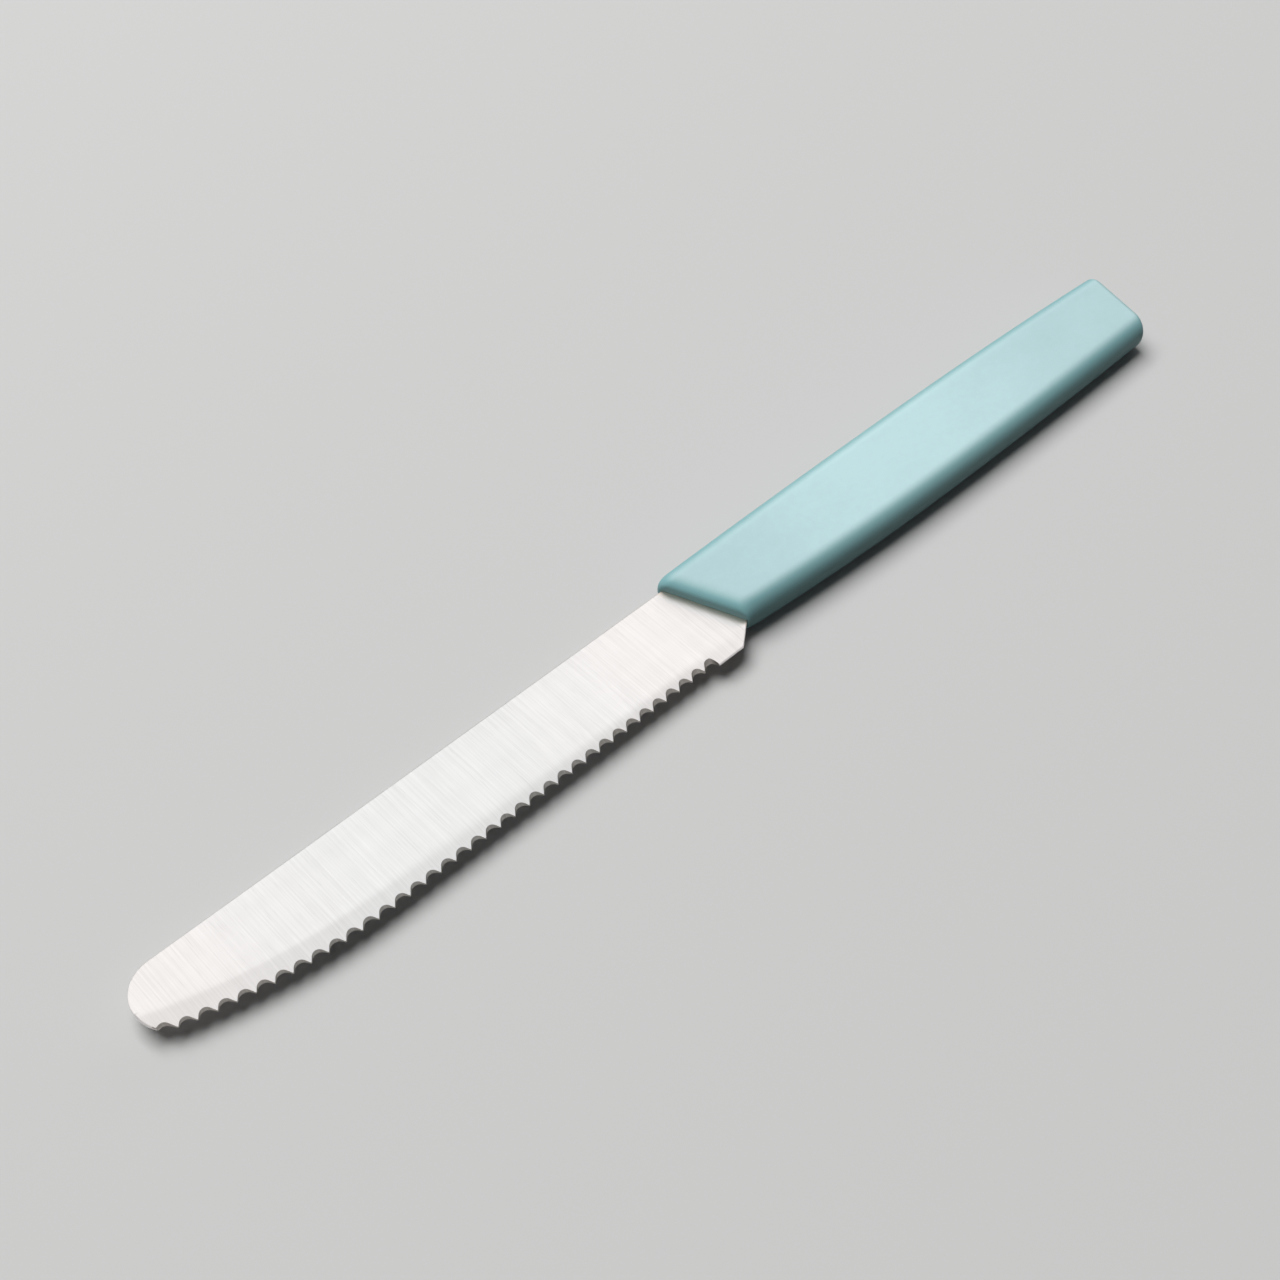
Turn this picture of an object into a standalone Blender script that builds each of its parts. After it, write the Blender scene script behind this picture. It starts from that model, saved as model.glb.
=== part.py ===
"""Table knife: a serrated, round-ended steel blade in a one-piece moulded plastic handle.

Metres, +Z up. The knife lies on its side, as on a table. X runs from the blade's round end to the
handle's butt, Y from the cutting edge up to the spine, and Z through the thickness. The origin is on
the table, under the middle of the knife. Plan positions are first worked out as (along, across), with
along measured from the blade's end and across from the spine, negative towards the cutting edge.
"""

import math

import bmesh
import bpy
from mathutils import Matrix, Vector

# Whole knife
TOTAL_LENGTH = 0.215
BLADE_SHOWING = 0.1033      # blade's end to the handle, along the spine

# Blade blank
BLADE_THICKNESS = 0.0012
BLADE_WIDTH = 0.0170        # spine to the plain heel
TIP_EDGE_RADIUS = 0.00675   # the round end, on the side of the cutting edge
BELLY_RADIUS = 0.108        # slow curve that brings the edge up to the round end
BELLY_START = 0.03675       # where that curve starts, from the blade's end
HEEL_START = 0.0997         # serration stops and the plain heel starts
HEEL_LENGTH = 0.0053
HEEL_RISE = math.radians(39.5)

# Cutting edge
SCALLOP_COUNT = 36
SCALLOP_PITCH = 0.002774
SCALLOP_DEPTH = 0.00125     # from the points to the hollow's rim, on the ground side
SCALLOP_OVERLAP = 0.00003   # how much wider each hollow is than the pitch, which makes the points sharp
FACET_TILT = math.radians(50)
POINTS_INSET = 0.0007       # the points lie this far inside the heel's line
EDGE_THICKNESS = 0.0006
GRIND_WIDTH = 0.0036
GRIND_RUN_OUT = 0.003       # the grind starts to leave the edge this far before the heel
GRIND_LEAVE_RADIUS = 0.0045
GRIND_LEAVE_TURN = math.radians(75)

# Tang, inside the handle
SHOULDER_DEPTH = 0.0045     # where the blade steps down to the tang, behind the handle's front
TANG_LENGTH = 0.096         # from the handle's front at the spine
TANG_FRONT_WIDTH = 0.0112
TANG_END_WIDTH = 0.0100
TANG_CENTRE = 0.0074        # below the spine
KEY_HOLES = 3
KEY_HOLE_DIAMETER = 0.004
KEY_HOLE_FIRST = 0.016      # from the handle's front at the spine
KEY_HOLE_SPACING = 0.030
TANG_CLEARANCE = 0.00025

# Handle
HANDLE_THICKNESS = 0.007
SIDE_FLAT = 0.0004          # straight height left between the two rounded long edges
SPINE_SIDE_REACH = 0.0020   # how far the handle stands above the spine at its fullest
SPINE_SIDE_FULLEST = 0.143  # where that is, from the blade's end
SPINE_SIDE_FRONT_DROP = 0.00036
SPINE_SIDE_BUTT_DROP = 0.0016
SPINE_SIDE_BUTT_POWER = 2.5 # above 2, so that it stays straight for longer and then falls off faster
EDGE_SIDE_REACH = 0.0165    # spine to the handle's lower side at its fullest
EDGE_SIDE_FULLEST = 0.166
EDGE_SIDE_FRONT_DROP = 0.0020
EDGE_SIDE_BUTT_DROP = 0.00065
EDGE_SIDE_FRONT_POWER = 1.9
FRONT_SLANT = math.radians(22.2)
BUTT_SLANT = math.radians(13.5)
FRONT_TOP_ROUND = 0.0019
FRONT_SPINE_ROUND = 0.0021
FRONT_EDGE_ROUND = 0.0003
BUTT_TOP_ROUND = 0.0008
BUTT_SPINE_ROUND = 0.0009
BUTT_EDGE_ROUND = 0.0011

# Fineness of the round parts
ARC_STEPS = 14
BELLY_STEPS = 20
SCALLOP_STEPS = 10
HOLE_STEPS = 24
HANDLE_STATIONS = 26
END_STATIONS = 7
SIDE_STEPS = 14

# Edges steeper than this stay sharp in the shading
SHARP_EDGE = math.radians(40)

# Extra length that takes a cutter clear of what it cuts
CUTTER_MARGIN = 0.003

# Colours
STEEL_COLOUR = (0.78, 0.77, 0.75, 1.0)
HANDLE_COLOUR = (0.50, 0.73, 0.74, 1.0)

# Places that follow from the sizes
LOWEST_REACH = max(BLADE_WIDTH, EDGE_SIDE_REACH)
SPINE_Y = (LOWEST_REACH - SPINE_SIDE_REACH) / 2
BLADE_END_X = -TOTAL_LENGTH / 2
MIDDLE_Z = HANDLE_THICKNESS / 2
POINTS_LINE = -BLADE_WIDTH + POINTS_INSET
BELLY_CENTRE = Vector((BELLY_START, BELLY_RADIUS - BLADE_WIDTH))
TANG_END = BLADE_SHOWING + TANG_LENGTH


def in_frame(point, z=0.0):
    """A plan point (along, across) as a place in the knife's own frame."""
    return Vector((BLADE_END_X + point[0], SPINE_Y + point[1], z))


def clear_scene():
    for obj in list(bpy.data.objects):
        bpy.data.objects.remove(obj, do_unlink=True)
    for collection in list(bpy.data.collections):
        bpy.data.collections.remove(collection)


def new_collection(name):
    collection = bpy.data.collections.new(name)
    bpy.context.scene.collection.children.link(collection)
    return collection


def make_material(name, colour, roughness, metallic):
    material = bpy.data.materials.new(name)
    material.use_nodes = True
    shader = material.node_tree.nodes["Principled BSDF"]
    shader.inputs["Base Color"].default_value = colour
    shader.inputs["Roughness"].default_value = roughness
    shader.inputs["Metallic"].default_value = metallic
    return material


def add_object(name, mesh, collection, material=None):
    obj = bpy.data.objects.new(name, mesh)
    collection.objects.link(obj)
    if material:
        mesh.materials.clear()
        mesh.materials.append(material)
    return obj


def add_cutter(name, mesh, collection):
    cutter = add_object(name, mesh, collection)
    cutter.hide_render = True
    cutter.display_type = "WIRE"
    return cutter


def apply_boolean(obj, other, operation):
    modifier = obj.modifiers.new(other.name, "BOOLEAN")
    modifier.operation = operation
    modifier.solver = "EXACT"
    modifier.object = other


def mesh_of_curve(obj):
    """The solid of a filled or swept curve, with its loose caps joined on."""
    graph = bpy.context.evaluated_depsgraph_get()
    mesh = bpy.data.meshes.new_from_object(obj.evaluated_get(graph))
    mesh.transform(obj.matrix_world)
    shape = bmesh.new()
    shape.from_mesh(mesh)
    bmesh.ops.remove_doubles(shape, verts=shape.verts, dist=1e-7)
    bmesh.ops.recalc_face_normals(shape, faces=shape.faces)
    shape.to_mesh(mesh)
    shape.free()
    mesh.shade_flat()
    bpy.data.objects.remove(obj, do_unlink=True)
    return mesh


def poly_curve(name, points, closed):
    """A straight-sided 2D curve through the points, linked so that it can be evaluated."""
    curve = bpy.data.curves.new(name, "CURVE")
    curve.dimensions = "2D"
    spline = curve.splines.new("POLY")
    spline.points.add(len(points) - 1)
    for knot, point in zip(spline.points, points):
        knot.co = (point[0], point[1], 0.0, 1.0)
    spline.use_cyclic_u = closed
    obj = bpy.data.objects.new(name, curve)
    bpy.context.scene.collection.objects.link(obj)
    return obj


def plate_mesh(name, outline, thickness):
    """A flat plate with this outline, half of its thickness on each side of Z = 0."""
    obj = poly_curve(name, outline, True)
    obj.data.fill_mode = "BOTH"
    obj.data.extrude = thickness / 2
    bpy.context.view_layer.update()
    return mesh_of_curve(obj)


def swept_mesh(name, path, profile):
    """The closed profile carried along the path, which lies in the plan."""
    section = poly_curve(name + "_section", profile, True)
    rail = poly_curve(name, path, False)
    rail.data.bevel_mode = "OBJECT"
    rail.data.bevel_object = section
    rail.data.use_fill_caps = True
    bpy.context.view_layer.update()
    mesh = mesh_of_curve(rail)
    bpy.data.objects.remove(section, do_unlink=True)
    return mesh


def arc(centre, radius, start, end, steps):
    """Points from one angle to the other, both included."""
    turn = (end - start) / steps
    angles = [start + turn * step for step in range(steps + 1)]
    return [Vector((centre[0] + radius * math.cos(a), centre[1] + radius * math.sin(a))) for a in angles]


def round_end():
    """The centre of the round end's lower arc, and the angle at which it runs into the belly.

    The arc touches the blade's end, and touches the belly's long arc from inside.
    """
    reach = BELLY_RADIUS - TIP_EDGE_RADIUS
    lower_y = BELLY_CENTRE.y - math.sqrt(reach ** 2 - (BELLY_CENTRE.x - TIP_EDGE_RADIUS) ** 2)
    lower = Vector((TIP_EDGE_RADIUS, lower_y))
    touch = math.atan2(lower.y - BELLY_CENTRE.y, lower.x - BELLY_CENTRE.x) % (2 * math.pi)
    return lower, touch


def round_end_outline():
    """From the spine round the blade's end and along the belly to where the edge runs straight.

    The upper arc fills what the lower one leaves between the blade's end and the spine.
    """
    lower, touch = round_end()
    upper_radius = -lower.y
    upper = Vector((upper_radius, -upper_radius))
    points = arc(upper, upper_radius, math.pi / 2, math.pi, ARC_STEPS)
    points += arc(lower, TIP_EDGE_RADIUS, math.pi, touch, ARC_STEPS)[1:]
    points += arc(BELLY_CENTRE, BELLY_RADIUS, touch, 1.5 * math.pi, BELLY_STEPS)[1:]
    return points


def front_line(across):
    """Where the handle's slanted front lies along the knife, at this distance across it."""
    return BLADE_SHOWING - across * math.tan(FRONT_SLANT)


def tang_outline(grow):
    """The part of the blank that goes into the handle, from the spine round to the heel.

    Every side is moved outwards by grow, so that the same outline gives the slot in the handle.
    """
    shoulder = BLADE_SHOWING + SHOULDER_DEPTH + grow
    half_front = TANG_FRONT_WIDTH / 2 + grow
    half_end = TANG_END_WIDTH / 2 + grow
    end_centre = Vector((TANG_END - TANG_END_WIDTH / 2, -TANG_CENTRE))
    heel_end = Vector((HEEL_START + HEEL_LENGTH, -BLADE_WIDTH))
    heel_out = Vector((math.sin(HEEL_RISE), -math.cos(HEEL_RISE))) * grow
    heel_start = heel_end + heel_out
    bottom = -TANG_CENTRE - half_front
    run = (bottom - heel_start.y) / math.tan(HEEL_RISE)
    points = [Vector((shoulder, grow)), Vector((shoulder, -TANG_CENTRE + half_front))]
    points += arc(end_centre, half_end, math.pi / 2, -math.pi / 2, ARC_STEPS)
    points += [Vector((heel_start.x + run, bottom)), heel_start]
    return points


def blank_outline():
    points = round_end_outline()
    heel_corner = Vector((HEEL_START, -BLADE_WIDTH))
    return points + [heel_corner] + list(reversed(tang_outline(0.0)))


def belly_place(distance):
    """A place this far from the heel on the straight edge and the belly, and the way the edge faces there."""
    straight = HEEL_START - BELLY_START
    if distance <= straight:
        return Vector((HEEL_START - distance, POINTS_LINE)), Vector((0.0, -1.0))
    radius = BELLY_RADIUS - POINTS_INSET
    angle = (distance - straight) / radius
    facing = Vector((-math.sin(angle), -math.cos(angle)))
    return BELLY_CENTRE + facing * radius, facing


def points_place(distance):
    """As belly_place, but carried on round the blade's end, where the line comes out to the outline."""
    lower, touch = round_end()
    to_touch = HEEL_START - BELLY_START + (1.5 * math.pi - touch) * (BELLY_RADIUS - POINTS_INSET)
    if distance <= to_touch:
        return belly_place(distance)
    beyond = distance - to_touch
    radius = TIP_EDGE_RADIUS - POINTS_INSET * max(0.0, 1 - beyond / SCALLOP_PITCH)
    angle = touch - beyond / (TIP_EDGE_RADIUS - POINTS_INSET)
    facing = Vector((math.cos(angle), math.sin(angle)))
    return lower + facing * radius, facing


def scallop_template():
    """One hollow's cutter: a round-nosed slot whose sides slope with the facet's tilt.

    Its nose points to +Y, with the line of the points at Y = 0 on the upper face of the blade's edge.
    """
    radius = SCALLOP_PITCH / 2 + SCALLOP_OVERLAP
    nose_centre = (0.0, SCALLOP_DEPTH - radius)
    outline = arc(nose_centre, radius, 0.0, math.pi, SCALLOP_STEPS)
    outline += [Vector((-radius, -CUTTER_MARGIN)), Vector((radius, -CUTTER_MARGIN))]
    mesh = plate_mesh("scallop", outline, 4 * BLADE_THICKNESS)
    slope = 1 / math.tan(FACET_TILT)
    lean = Matrix.Identity(4)
    lean[1][2] = slope
    lean[1][3] = -slope * EDGE_THICKNESS / 2
    mesh.transform(lean)
    return mesh


def scallop_mesh(template, first):
    """Every second hollow, which leaves no two of them touching."""
    shape = bmesh.new()
    for index in range(first, SCALLOP_COUNT, 2):
        place, facing = points_place((index + 0.5) * SCALLOP_PITCH)
        turn = math.atan2(-facing.x, facing.y) + math.pi
        copy = template.copy()
        copy.transform(Matrix.Translation(in_frame(place, MIDDLE_Z)) @ Matrix.Rotation(turn, 4, "Z"))
        shape.from_mesh(copy)
        bpy.data.meshes.remove(copy)
    mesh = bpy.data.meshes.new("scallops")
    shape.to_mesh(mesh)
    shape.free()
    return mesh


def grind_mesh(side):
    """The long wedge that thins one face towards the edge, side +1 for the upper face.

    It follows the line of the points, runs on past the blade's end, and leaves the edge in a short
    curve at the heel, as the wheel does.
    """
    leave_centre = (HEEL_START - GRIND_RUN_OUT, POINTS_LINE - GRIND_LEAVE_RADIUS)
    square = math.pi / 2
    path = arc(leave_centre, GRIND_LEAVE_RADIUS, square - GRIND_LEAVE_TURN, square, ARC_STEPS)
    straight = HEEL_START - BELLY_START
    beyond = SCALLOP_COUNT * SCALLOP_PITCH + 2 * CUTTER_MARGIN
    for step in range(BELLY_STEPS + 1):
        path.append(belly_place(straight + (beyond - straight) * step / BELLY_STEPS)[0])
    slope = (BLADE_THICKNESS - EDGE_THICKNESS) / 2 / GRIND_WIDTH
    inner = -GRIND_WIDTH
    outer = CUTTER_MARGIN
    top = 2 * BLADE_THICKNESS
    profile = [
        (inner, BLADE_THICKNESS / 2),
        (outer, EDGE_THICKNESS / 2 - slope * outer),
        (outer, top),
        (inner, top),
    ]
    return swept_mesh("grind", path, [(x, side * y) for x, y in profile])


def build_blade(parts, cutters, material):
    outline = blank_outline()
    mesh = plate_mesh("blade", outline, BLADE_THICKNESS)
    mesh.transform(Matrix.Translation(in_frame((0.0, 0.0), MIDDLE_Z)))
    blade = add_object("blade", mesh, parts, material)
    for side, name in ((1, "upper_grind_cutter"), (-1, "lower_grind_cutter")):
        wedge = grind_mesh(side)
        wedge.transform(Matrix.Translation(in_frame((0.0, 0.0), MIDDLE_Z)))
        apply_boolean(blade, add_cutter(name, wedge, cutters), "DIFFERENCE")
    template = scallop_template()
    for first, name in ((0, "even_scallop_cutter"), (1, "odd_scallop_cutter")):
        apply_boolean(blade, add_cutter(name, scallop_mesh(template, first), cutters), "DIFFERENCE")
    bpy.data.meshes.remove(template)
    holes = cylinders_mesh("key_holes", KEY_HOLE_DIAMETER / 2, 4 * BLADE_THICKNESS)
    apply_boolean(blade, add_cutter("key_hole_cutter", holes, cutters), "DIFFERENCE")
    return blade


def cylinders_mesh(name, radius, height):
    """One upright cylinder at each key hole of the tang, in the middle of the thickness."""
    shape = bmesh.new()
    for index in range(KEY_HOLES):
        along = BLADE_SHOWING + KEY_HOLE_FIRST + index * KEY_HOLE_SPACING
        place = Matrix.Translation(in_frame((along, -TANG_CENTRE), MIDDLE_Z))
        bmesh.ops.create_cone(
            shape,
            cap_ends=True,
            segments=HOLE_STEPS,
            radius1=radius,
            radius2=radius,
            depth=height,
            matrix=place,
        )
    mesh = bpy.data.meshes.new(name)
    shape.to_mesh(mesh)
    shape.free()
    return mesh


def rounded_inset(distance, radius):
    """How far a rounded edge of this radius has drawn in, at this distance from the end face."""
    if distance >= radius:
        return 0.0
    return radius - math.sqrt(radius ** 2 - (radius - distance) ** 2)


def spine_side(along):
    """The handle's upper long side in plan: a swelling that falls off slowly, more so at the butt."""
    if along < SPINE_SIDE_FULLEST:
        share = (SPINE_SIDE_FULLEST - along) / (SPINE_SIDE_FULLEST - BLADE_SHOWING)
        return SPINE_SIDE_REACH - SPINE_SIDE_FRONT_DROP * share ** 2
    share = (along - SPINE_SIDE_FULLEST) / (TOTAL_LENGTH - SPINE_SIDE_FULLEST)
    return SPINE_SIDE_REACH - SPINE_SIDE_BUTT_DROP * share ** SPINE_SIDE_BUTT_POWER


def edge_side(along):
    """The handle's lower long side in plan, fullest a little behind the middle."""
    if along < EDGE_SIDE_FULLEST:
        share = (EDGE_SIDE_FULLEST - along) / (EDGE_SIDE_FULLEST - front_line(-EDGE_SIDE_REACH))
        return -EDGE_SIDE_REACH + EDGE_SIDE_FRONT_DROP * share ** EDGE_SIDE_FRONT_POWER
    share = (along - EDGE_SIDE_FULLEST) / (TOTAL_LENGTH - EDGE_SIDE_FULLEST)
    return -EDGE_SIDE_REACH + EDGE_SIDE_BUTT_DROP * share ** 2


def handle_stations():
    """Distances from the handle's front, close together where its ends are rounded."""
    length = TOTAL_LENGTH - BLADE_SHOWING
    steps = [math.pi / 2 * step / END_STATIONS for step in range(END_STATIONS)]
    front_round = max(FRONT_TOP_ROUND, FRONT_SPINE_ROUND, FRONT_EDGE_ROUND)
    butt_round = max(BUTT_TOP_ROUND, BUTT_SPINE_ROUND, BUTT_EDGE_ROUND)
    front = [front_round * (1 - math.cos(step)) for step in steps]
    butt = [length - butt_round * (1 - math.cos(step)) for step in reversed(steps)]
    middle = length - front_round - butt_round
    between = [front_round + middle * step / HANDLE_STATIONS for step in range(HANDLE_STATIONS + 1)]
    return front + between + butt, length


def handle_ring(distance, length):
    """One section of the handle, in a plane that leans like the front at one end and the butt at the other.

    Its outline is two flat faces joined by rounded sides, drawn in where the ends are rounded.
    """
    share = distance / length
    to_butt = length - distance
    lean = math.tan(FRONT_SLANT) * (1 - share) - math.tan(BUTT_SLANT) * share
    butt_corner = BUTT_SPINE_ROUND - spine_side(TOTAL_LENGTH)
    butt_end = TOTAL_LENGTH - BLADE_SHOWING + butt_corner * math.tan(BUTT_SLANT)
    along = BLADE_SHOWING + butt_end * share
    upper_along = along - lean * spine_side(along)
    upper = spine_side(upper_along)
    lower_along = along + lean * EDGE_SIDE_REACH
    lower = edge_side(lower_along)
    upper -= rounded_inset(distance, FRONT_SPINE_ROUND) + rounded_inset(to_butt, BUTT_SPINE_ROUND)
    lower += rounded_inset(distance, FRONT_EDGE_ROUND) + rounded_inset(to_butt, BUTT_EDGE_ROUND)
    draw_in = rounded_inset(distance, FRONT_TOP_ROUND) + rounded_inset(to_butt, BUTT_TOP_ROUND)
    half = HANDLE_THICKNESS / 2 - draw_in
    flat = SIDE_FLAT / 2
    side = half - flat
    points = []
    for centre, towards in ((upper - side, 1), (lower + side, -1)):
        for step in range(SIDE_STEPS + 1):
            angle = math.pi * step / SIDE_STEPS
            across = centre + towards * side * math.sin(angle)
            rise = side * math.cos(angle)
            height = towards * (rise + math.copysign(flat, rise))
            points.append(in_frame((along - lean * across, across), MIDDLE_Z + height))
    return points


def handle_body_mesh():
    """The handle's outside: rings joined one to the next, with a flat cap at each end."""
    stations, length = handle_stations()
    shape = bmesh.new()
    loops = []
    for distance in stations:
        verts = [shape.verts.new(point) for point in handle_ring(distance, length)]
        loops.append([shape.edges.new((verts[i - 1], verts[i])) for i in range(len(verts))])
    for one, following in zip(loops, loops[1:]):
        bmesh.ops.bridge_loops(shape, edges=one + following)
    for end in (loops[0], loops[-1]):
        bmesh.ops.contextual_create(shape, geom=end)
    bmesh.ops.recalc_face_normals(shape, faces=shape.faces)
    mesh = bpy.data.meshes.new("handle")
    shape.to_mesh(mesh)
    shape.free()
    return mesh


def tang_slot_mesh():
    """The space that the blade and its tang take up in the handle, with the clearance all round."""
    inside = tang_outline(TANG_CLEARANCE)
    before_front = BLADE_SHOWING - 2 * CUTTER_MARGIN
    outline = [Vector((before_front, TANG_CLEARANCE))] + inside
    outline.append(Vector((before_front, inside[-1].y)))
    mesh = plate_mesh("tang_slot", outline, BLADE_THICKNESS + 2 * TANG_CLEARANCE)
    mesh.transform(Matrix.Translation(in_frame((0.0, 0.0), MIDDLE_Z)))
    return mesh


def build_handle(parts, cutters, material):
    handle = add_object("handle", handle_body_mesh(), parts, material)
    slot = add_cutter("tang_slot_cutter", tang_slot_mesh(), cutters)
    apply_boolean(handle, slot, "DIFFERENCE")
    columns = cylinders_mesh("columns", KEY_HOLE_DIAMETER / 2 - TANG_CLEARANCE, HANDLE_THICKNESS / 2)
    apply_boolean(handle, add_cutter("key_columns", columns, cutters), "UNION")
    return handle


def main():
    clear_scene()
    parts = new_collection("table_knife")
    cutters = new_collection("cutters")
    cutters.hide_render = True
    steel = make_material("brushed_steel", STEEL_COLOUR, 0.32, 1.0)
    plastic = make_material("aqua_plastic", HANDLE_COLOUR, 0.45, 0.0)
    build_blade(parts, cutters, steel)
    handle = build_handle(parts, cutters, plastic)
    handle.data.shade_smooth()
    handle.data.set_sharp_from_angle(angle=SHARP_EDGE)


main()
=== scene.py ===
# %% [markdown]
# # A serrated table knife
#
# A small table knife lies on its side: a round-ended steel blade with ground hollows along its edge,
# moulded into a pale aqua plastic handle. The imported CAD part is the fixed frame. This script gives the
# two parts their finished surfaces and finishes, and sets up a small photographic table.
#
# Everything is in metres, in the CAD part's own frame: X runs from the blade's round end to the handle's
# butt, Y from the cutting edge up to the spine, and Z up through the thickness.

import math

import bmesh
import bpy
import numpy as np
from mathutils import Matrix, Vector


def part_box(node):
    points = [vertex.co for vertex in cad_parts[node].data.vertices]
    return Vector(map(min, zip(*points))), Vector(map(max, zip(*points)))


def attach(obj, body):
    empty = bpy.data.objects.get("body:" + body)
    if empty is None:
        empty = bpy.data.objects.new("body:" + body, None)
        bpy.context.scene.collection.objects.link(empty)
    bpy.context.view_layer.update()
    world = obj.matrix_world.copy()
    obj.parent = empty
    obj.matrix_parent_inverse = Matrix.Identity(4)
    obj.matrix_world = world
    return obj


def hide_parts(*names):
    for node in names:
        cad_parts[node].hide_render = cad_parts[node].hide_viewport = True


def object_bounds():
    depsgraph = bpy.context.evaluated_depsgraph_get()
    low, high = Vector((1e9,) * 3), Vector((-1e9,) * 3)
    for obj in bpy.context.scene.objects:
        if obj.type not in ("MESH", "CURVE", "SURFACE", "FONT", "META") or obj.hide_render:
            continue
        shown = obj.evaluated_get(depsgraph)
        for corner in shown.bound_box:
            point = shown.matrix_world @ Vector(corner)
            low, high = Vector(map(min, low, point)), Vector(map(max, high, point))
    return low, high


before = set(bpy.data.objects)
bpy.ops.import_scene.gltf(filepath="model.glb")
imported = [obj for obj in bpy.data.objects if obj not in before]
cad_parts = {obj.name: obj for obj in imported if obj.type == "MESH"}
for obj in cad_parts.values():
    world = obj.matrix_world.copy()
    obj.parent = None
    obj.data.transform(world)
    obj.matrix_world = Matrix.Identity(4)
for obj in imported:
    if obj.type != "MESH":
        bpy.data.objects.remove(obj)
cad_low, cad_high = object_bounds()
print("CAD nodes:", sorted(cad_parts))
print("CAD box in mm:", [round(1000 * (high - low), 2) for low, high in zip(cad_low, cad_high)])

# %% [markdown]
# ## The plan of the knife
#
# A knife maker draws the blade flat, measuring along from its end and across from its spine. The same
# two measures are used here, so the plan's zero is moved into the frame only when a surface is finished.
# Working in the plan keeps every formula short: the spine is simply the line where across is zero.

# %% Where the plan lies in the frame
TOTAL_LENGTH = 0.215
BLADE_SHOWING = 0.1033      # blade's end to the handle, along the spine
SPINE_Y = 0.0075
MIDDLE_Z = (cad_low.z + cad_high.z) / 2


def in_frame(along, across, height):
    """Plan places and heights above the middle of the thickness, stacked as frame coordinates."""
    return np.stack([along - TOTAL_LENGTH / 2, across + SPINE_Y, height + MIDDLE_Z], axis=-1)


def smooth_step(low, high, value):
    """0 before low and 1 after high. Between them, 3t^2 - 2t^3, with t the share of the way covered."""
    t = np.clip((value - low) / (high - low), 0.0, 1.0)
    return t * t * (3 - 2 * t)


blade_low, blade_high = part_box("blade")
print("blade node from Y %.2f to %.2f mm, and the plan's zero at Y %.2f mm"
      % (1000 * blade_low.y, 1000 * blade_high.y, 1000 * SPINE_Y))

# %% [markdown]
# ## Turning a grid of points into a mesh
#
# Both parts are tubes in disguise: a closed section carried from one end to the other. So each is a grid
# of points, one ring after the next, and one helper turns any such grid into a closed mesh. Where the
# last ring has shrunk to a point, its points are merged, which closes the end without a separate cap.
# Extruding by hand would do for one part, but a grid keeps every size a number that can be changed.


# %% One helper for both parts
FOLD = 0.001                # the under side's share of the UV map starts this far from the upper side's
SAME_POINT = 1e-7           # points closer together than this are one


def tube_object(name, rings, upper_points, finishes, finish_of_quad=None, sharp=math.radians(40)):
    """A closed mesh through rings[i, j]: i steps along the part and j goes once round it.

    The first upper_points of each ring are its upper side. The UV map is the plan, with X as its first
    axis everywhere, so that a brushed finish knows which way its grooves run. Half the height is added
    to its second axis, which opens out the narrow sides, and the under side is folded over beside it.
    """
    count, around = rings.shape[:2]
    index = np.arange(count * around).reshape(count, around)
    beside = np.roll(index, -1, axis=1)
    quads = np.stack([index[:-1], index[1:], beside[1:], beside[:-1]], axis=-1).reshape(-1, 4)
    closed = np.concatenate([rings, rings[:, :1]], axis=1)
    upper_side = np.arange(around + 1) < upper_points
    second = np.where(upper_side, closed[..., 1] + closed[..., 2] / 2, SPINE_Y * 2 + FOLD - closed[..., 1])
    flat = np.stack([closed[..., 0], second], axis=-1) / TOTAL_LENGTH
    corners = np.stack([flat[:-1, :-1], flat[1:, :-1], flat[1:, 1:], flat[:-1, 1:]], axis=2)
    mesh = bpy.data.meshes.new(name)
    mesh.from_pydata(rings.reshape(-1, 3).tolist(), [], quads.tolist())
    mesh.uv_layers.new(name="UVMap").data.foreach_set("uv", corners.astype(np.float32).ravel())
    if finish_of_quad is not None:
        mesh.polygons.foreach_set("material_index", finish_of_quad.astype(np.int32).ravel())
    shape = bmesh.new()
    shape.from_mesh(mesh)
    bmesh.ops.remove_doubles(shape, verts=shape.verts, dist=SAME_POINT)
    bmesh.ops.recalc_face_normals(shape, faces=shape.faces)
    shape.to_mesh(mesh)
    shape.free()
    mesh.shade_smooth()
    mesh.set_sharp_from_angle(angle=sharp)
    for finish in finishes:
        mesh.materials.append(finish)
    piece = bpy.data.objects.new(name, mesh)
    bpy.context.scene.collection.objects.link(piece)
    return piece


# %% [markdown]
# ## Brushed steel
#
# The blade's faces are finished on a belt that runs across it, square to the spine, so thousands of fine
# grooves lie side by side. Each groove is far thinner than a pixel. Together they spread a reflection
# along the blade and hardly at all across it. An anisotropic metal does just that. Noise that is
# stretched sixty times along the grooves adds those that the eye can pick out, and its highest values
# make the few that are cut deeper and look like dark hairs. A picture of scratches could be laid on
# instead, but it would blur close by and repeat.
#
# The steel is painted a shade creamier towards both ends of the blade, as a painted reflection of warmer
# surroundings. It is also painted a little browner and darker in a narrow strip along the handle's slanted
# front, as painted contact shadow. A tint in the metal's own colour gives both, and stays put when the
# knife is turned. The walls of the hollows come straight from the grinding wheel. They are duller from it,
# and their darker colour is painted shade: they are the same finish with other numbers.


# %% A blank finish, and noise on the part's own coordinates
def new_finish(name):
    """An empty node material with its Principled shader and its object coordinates."""
    finish = bpy.data.materials.new(name)
    finish.use_nodes = True
    tree = finish.node_tree
    shader = tree.nodes["Principled BSDF"]
    place = tree.nodes.new("ShaderNodeTexCoord").outputs["Object"]
    return finish, tree, shader, place


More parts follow.
